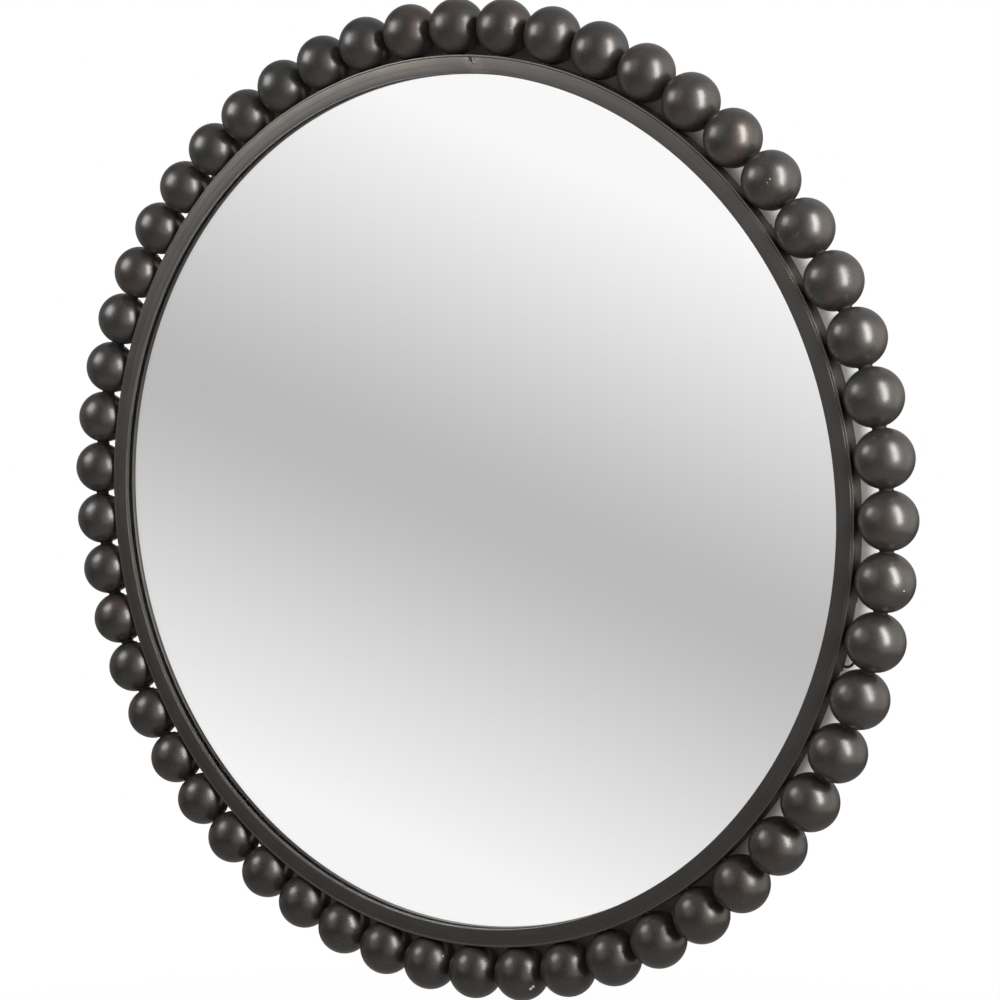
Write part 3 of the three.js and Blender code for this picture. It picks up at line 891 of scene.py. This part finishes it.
# The glow is painted light; it dims next to the hoop as painted shade.
glow_painted = calculate(tree, "MULTIPLY", calculate(tree, "MULTIPLY", lit_side_painted, hoop_shade_painted), 0.72)
tree.links.new(calculate(tree, "MULTIPLY", glow_painted, seen), shader.inputs["Emission Strength"])
clear = tree.nodes.new("ShaderNodeBsdfTransparent")
one_side = tree.nodes.new("ShaderNodeMixShader")
from_behind = tree.nodes.new("ShaderNodeNewGeometry").outputs["Backfacing"]
close_by = between(tree, rays.outputs["Ray Length"], 0.006, 0.011, 1.0, 0.0)
tree.links.new(calculate(tree, "MAXIMUM", from_behind, close_by), one_side.inputs[0])
tree.links.new(shader.outputs[0], one_side.inputs[1])
tree.links.new(clear.outputs[0], one_side.inputs[2])
tree.links.new(one_side.outputs[0], tree.nodes["Material Output"].inputs["Surface"])
wall.data.materials.append(painted)


def softbox(name, place, aim, width, height, watts):
    lamp = bpy.data.lights.new(name, "AREA")
    lamp.shape = "RECTANGLE"
    lamp.size = width
    lamp.size_y = height
    lamp.energy = watts
    lamp.color = (1.0, 0.985, 0.965)
    holder = bpy.data.objects.new(name, lamp)
    bpy.context.collection.objects.link(holder)
    facing = (Vector(aim) - Vector(place)).to_track_quat("-Z", "Y").to_matrix().to_4x4()
    holder.matrix_world = Matrix.Translation(place) @ facing


softbox("right softbox", (1.30, -0.40, 0.50), (0.15, -0.02, 0.0), width=0.36, height=1.30, watts=20.6)
softbox("left softbox", (-1.055, -0.893, 0.825), (-0.1, -0.02, 0.0), width=0.74, height=0.68, watts=9.0)
softbox("rear softbox", (-1.05, 1.55, 0.25), (0.0, 0.0, 0.0), width=1.00, height=0.80, watts=24.0)

room = bpy.data.worlds.new("white room")
bpy.context.scene.world = room
room.use_nodes = True
tree = room.node_tree
light = tree.nodes["Background"]
toward = tree.nodes.new("ShaderNodeTexCoord").outputs["Generated"]
split = tree.nodes.new("ShaderNodeSeparateXYZ")
tree.links.new(toward, split.inputs[0])
x, y, z = split.outputs
degrees = 180 / math.pi


def facing(tree, toward, azimuth, elevation, wide, narrow):
    """1 where a ray goes within the narrow angle of this heading, and 0 outside the wide one."""
    a, e = math.radians(azimuth), math.radians(elevation)
    dot = tree.nodes.new("ShaderNodeVectorMath")
    dot.operation = "DOT_PRODUCT"
    dot.inputs[1].default_value = (math.sin(a) * math.cos(e), -math.cos(a) * math.cos(e), math.sin(e))
    tree.links.new(toward, dot.inputs[0])
    return between(tree, dot.outputs["Value"], math.cos(math.radians(wide)), math.cos(math.radians(narrow)))


def blended(tree, share, first, second):
    """A level that goes from the first to the second by a share from 0 to 1."""
    node = tree.nodes.new("ShaderNodeMix")
    for socket, value in zip((node.inputs[0], node.inputs[2], node.inputs[3]), (share, first, second)):
        if isinstance(value, (int, float)):
            socket.default_value = value
        else:
            tree.links.new(value, socket)
    return node.outputs[0]


# The sweep of the room that the glass shows: a slanting darker band, paler above and below
forward = calculate(tree, "MULTIPLY", y, -1.0)
heading = calculate(tree, "MULTIPLY", calculate(tree, "ARCTAN2", x, forward), degrees)
height = calculate(tree, "MULTIPLY", calculate(tree, "ARCSINE", z), degrees)
band_slope = 0.42
off_band = calculate(tree, "ADD", calculate(tree, "ADD", height, 5.4 + band_slope * 33.9),
                     calculate(tree, "MULTIPLY", heading, band_slope))
bowl = calculate(tree, "SQRT", calculate(tree, "ADD", calculate(tree, "MULTIPLY", off_band, off_band), 2.0))
paler_off_band = calculate(tree, "ADD", calculate(tree, "MULTIPLY", bowl, 0.0665), 0.44)
sweep = calculate(tree, "MINIMUM", paler_off_band, 1.0)

# The rest of the room: dim in front, paler to the right, behind and overhead
right_side = calculate(tree, "MULTIPLY", between(tree, x, 0.28, 0.95, 0.0, 1.15),
                       between(tree, z, -0.9, -0.3, 0.45, 1.0))
raised = calculate(tree, "ADD", z, calculate(tree, "MULTIPLY", x, 0.35))
behind = calculate(tree, "MULTIPLY", between(tree, y, 0.1, 0.8, 0.0, 0.5), between(tree, raised, -0.3, 0.4))
left_side = between(tree, x, -0.98, -0.72, 0.22, 0.0)
overhead = between(tree, z, 0.6, 0.98, 0.0, 0.25)
below = between(tree, z, -0.9, -0.3, 0.06, 0.0)
upper_left = calculate(tree, "MULTIPLY", facing(tree, toward, -30, 24, 29, 12), 0.8)
general = calculate(tree, "ADD", calculate(tree, "ADD", right_side, behind), 0.05)
general = calculate(tree, "ADD", general, calculate(tree, "ADD", left_side, below))
general = calculate(tree, "ADD", general, calculate(tree, "ADD", overhead, upper_left))

rays = tree.nodes.new("ShaderNodeLightPath")
reflected = calculate(tree, "MAXIMUM", rays.outputs["Is Glossy Ray"], rays.outputs["Is Transmission Ray"])
seen = calculate(tree, "MAXIMUM", rays.outputs["Is Camera Ray"], reflected)
shown = blended(tree, rays.outputs["Is Transmission Ray"], general, sweep)
white_or_shown = blended(tree, rays.outputs["Is Camera Ray"], shown, 1.0)
tree.links.new(blended(tree, seen, 0.46, white_or_shown), light.inputs["Strength"])
warmth = calculate(tree, "MAXIMUM", between(tree, x, -0.2, 0.9), between(tree, z, -0.7, -0.1, 1.0, 0.0))
plain = calculate(tree, "MAXIMUM", rays.outputs["Is Camera Ray"], rays.outputs["Is Transmission Ray"])
warmth = calculate(tree, "MULTIPLY", warmth, calculate(tree, "SUBTRACT", 1.0, plain))
tree.links.new(tinted(tree, warmth, (1.0, 1.0, 1.0), (1.0, 0.955, 0.90)), light.inputs["Color"])


# ---- camera ----
# The camera stands to the right of the mirror and a little above its middle, with a long lens.

lens = bpy.data.cameras.new("camera")
lens.lens = 92.09
lens.sensor_width = 36.0
lens.clip_start = 0.05
camera = bpy.data.objects.new("camera", lens)
bpy.context.collection.objects.link(camera)
camera.location = (1.3185, -1.9418, 0.2212)
camera.rotation_euler = (math.radians(90 - 5.32), 0.0, math.radians(33.52))
bpy.context.scene.camera = camera
bpy.context.scene.view_settings.view_transform = "Standard"

deselect_everything()
